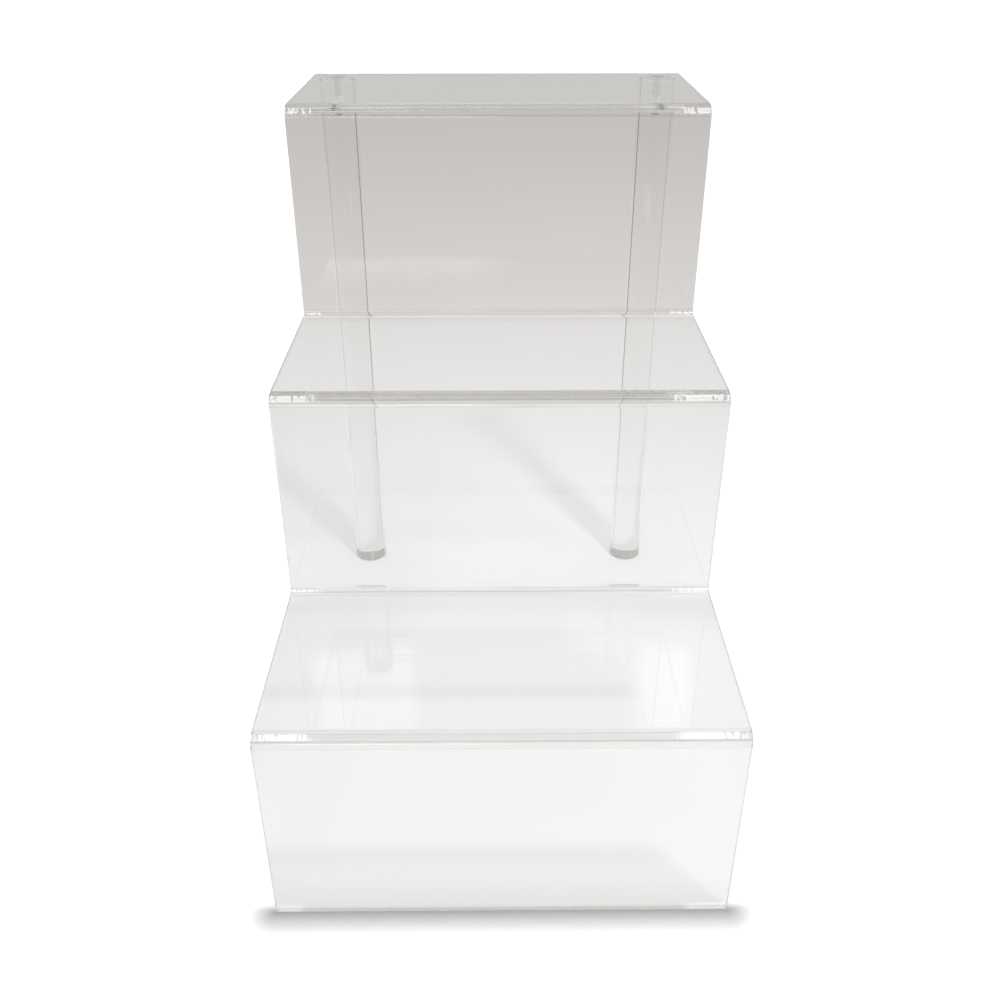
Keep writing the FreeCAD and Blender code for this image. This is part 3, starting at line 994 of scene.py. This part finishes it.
def studio_world():
    """A grey room with a paler band, one dark band, small lamps and two strip lights."""
    world = bpy.data.worlds.new("studio_light")
    world.use_nodes = True
    world.cycles.sampling_method = "NONE"
    tree = world.node_tree
    tree.nodes.clear()
    direction = add_node(tree, "ShaderNodeTexCoord").outputs["Generated"]
    height = add_node(tree, "ShaderNodeSeparateXYZ", {0: direction}).outputs["Z"]
    colour = graded(tree, height, ROOM_GRADES)
    for azimuth, elevation, half_width, half_height, rim, level in ROOM_PATCHES:
        share = patch(tree, direction, azimuth, elevation, half_width, half_height, rim)
        colour = tinted(tree, share, colour, level)
    for aside, half_width, first, last, level in STRIP_LIGHTS:
        share = strip(tree, direction, aside, half_width, first, last)
        colour = tinted(tree, share, colour, level)
    on_floor = add_node(tree, "ShaderNodeLightPath").outputs["Is Diffuse Ray"]
    colour = tinted(tree, on_floor, colour, EVEN_ROOM)
    shown = white_to_camera(tree, colour, 1.0)[0]
    light = add_node(tree, "ShaderNodeBackground", {"Color": shown, "Strength": 1.0})
    out = add_node(tree, "ShaderNodeOutputWorld")
    tree.links.new(light.outputs[0], out.inputs[0])
    bpy.context.scene.world = world


def soft_box(name, place, size, power):
    """A square area light that faces the riser."""
    data = bpy.data.lights.new(name, "AREA")
    data.shape = "SQUARE"
    data.size = size
    data.energy = power
    data.cycles.use_multiple_importance_sampling = False
    lamp = bpy.data.objects.new(name, data)
    bpy.context.scene.collection.objects.link(lamp)
    lamp.location = place
    aim = Vector((0.0, 0.0, SHEET_HIGH[2] / 2)) - Vector(place)
    lamp.rotation_euler = aim.to_track_quat("-Z", "Y").to_euler()
    return lamp


class RISER_OT_studio(bpy.types.Operator):
    """Lay the floor, set the light and place the camera"""

    bl_idname = "riser.studio"
    bl_label = "Studio"

    def execute(self, context):
        studio = context.scene.riser_studio
        shape = bmesh.new()
        bmesh.ops.create_circle(shape, cap_ends=True, segments=64, radius=studio.floor_radius)
        floor = new_piece("studio_floor", shape)
        floor.data.transform(Matrix.Translation((0, 0, SHEET_LOW[2] - 0.02 * MM)))
        floor.data.materials.append(floor_material(studio))
        studio_world()
        for lamp in LAMPS:
            soft_box(*lamp)

        lens = bpy.data.cameras.new("studio_camera")
        lens.lens = studio.camera_lens
        lens.sensor_width = 36.0
        lens.clip_start = 0.01
        camera = bpy.data.objects.new("studio_camera", lens)
        context.scene.collection.objects.link(camera)
        camera.location = studio.camera_place
        camera.rotation_euler = Euler((QUARTER - studio.camera_pitch, 0.0, -studio.camera_yaw))
        context.scene.camera = camera

        context.scene.view_settings.view_transform = "Standard"
        bounces = context.scene.cycles
        bounces.max_bounces = CLEAR_BOUNCES
        bounces.transmission_bounces = CLEAR_BOUNCES
        bounces.glossy_bounces = CLEAR_BOUNCES
        bounces.diffuse_bounces = 3
        bounces.blur_glossy = 0.0
        bounces.transparent_max_bounces = 64
        bounces.sample_clamp_indirect = 3.0
        return {"FINISHED"}


class RISER_PT_panel(bpy.types.Panel):
    """The riser's pieces and settings"""

    bl_idname = "RISER_PT_panel"
    bl_label = "Tiered Shelf Riser"
    bl_space_type = "VIEW_3D"
    bl_region_type = "UI"
    bl_category = "Riser"

    def draw(self, context):
        for group, operators in PANEL_ROWS:
            settings = getattr(context.scene, group)
            box = self.layout.box()
            for name in settings.__annotations__:
                box.prop(settings, name)
            for operator in operators:
                box.operator(operator.bl_idname)


SETTINGS = {
    "riser_sheet": RiserSheetSettings,
    "riser_rod": RiserRodSettings,
    "riser_screw": RiserScrewSettings,
    "riser_studio": RiserStudioSettings,
}
OPERATORS = [RISER_OT_sheet, RISER_OT_rods, RISER_OT_screws, RISER_OT_studio]
PANEL_ROWS = [(group, [operator]) for group, operator in zip(SETTINGS, OPERATORS)]
CLASSES = [*SETTINGS.values(), *OPERATORS, RISER_PT_panel]


def register():
    """Register the classes and hang the settings on the scene."""
    for item in CLASSES:
        bpy.utils.register_class(item)
    for group, settings in SETTINGS.items():
        setattr(bpy.types.Scene, group, bpy.props.PointerProperty(type=settings))


def unregister():
    """Take away what register added."""
    for group in SETTINGS:
        delattr(bpy.types.Scene, group)
    for item in reversed(CLASSES):
        bpy.utils.unregister_class(item)


def main():
    """Build every piece in order."""
    register()
    bpy.ops.riser.sheet()
    bpy.ops.riser.rods()
    bpy.ops.riser.screws()
    bpy.ops.riser.studio()


if __name__ == "__main__":
    main()
